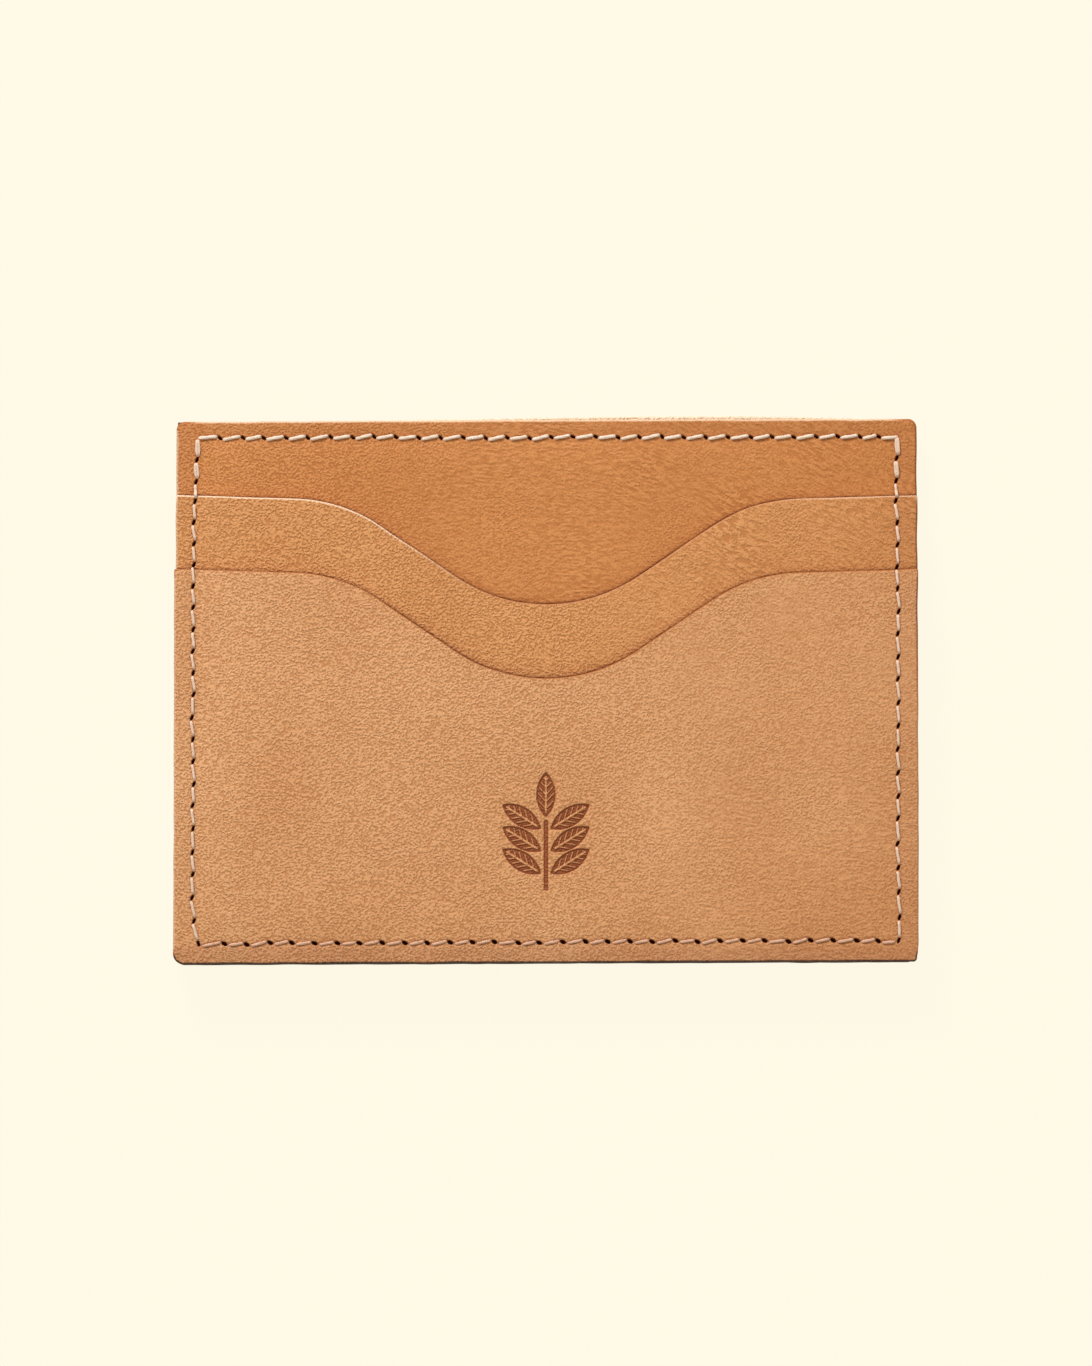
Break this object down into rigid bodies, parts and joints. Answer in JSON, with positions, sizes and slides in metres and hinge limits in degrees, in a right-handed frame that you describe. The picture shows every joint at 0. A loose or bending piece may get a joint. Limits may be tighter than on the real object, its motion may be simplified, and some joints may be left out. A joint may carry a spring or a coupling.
{
  "type": "card holder",
  "caption": "Flat stitched leather card holder with card pockets on both sides, scooped thumb mouths and an open middle pocket.",
  "frame": {"origin": "middle of the holder's outline, on the surface that its rear lies on", "axes": "+X across the width, +Y towards the pocket mouths, +Z out of the front face"},
  "size_m": [0.1, 0.0732, 0.0056],
  "materials": {
    "lower_pocket_leather": "satin",
    "upper_pocket_leather": "satin",
    "base_panel_leather": "satin",
    "thread": "matte",
    "glue": "satin"
  },
  "bodies": {
    "root": {"front_lower_pocket": "lower_pocket_leather", "rear_lower_pocket": "lower_pocket_leather", "front_upper_pocket": "upper_pocket_leather", "rear_upper_pocket": "upper_pocket_leather", "front_base_panel": "base_panel_leather", "rear_base_panel": "base_panel_leather", "front_lower_pocket_glue": "glue", "front_upper_pocket_glue": "glue", "centre_glue": "glue", "rear_upper_pocket_glue": "glue", "rear_lower_pocket_glue": "glue", "outer_seam_needle_thread": "thread", "outer_seam_bobbin_thread": "thread", "front_top_seam_needle_thread": "thread", "front_top_seam_bobbin_thread": "thread", "rear_top_seam_needle_thread": "thread", "rear_top_seam_bobbin_thread": "thread"}
  },
  "joints": []
}
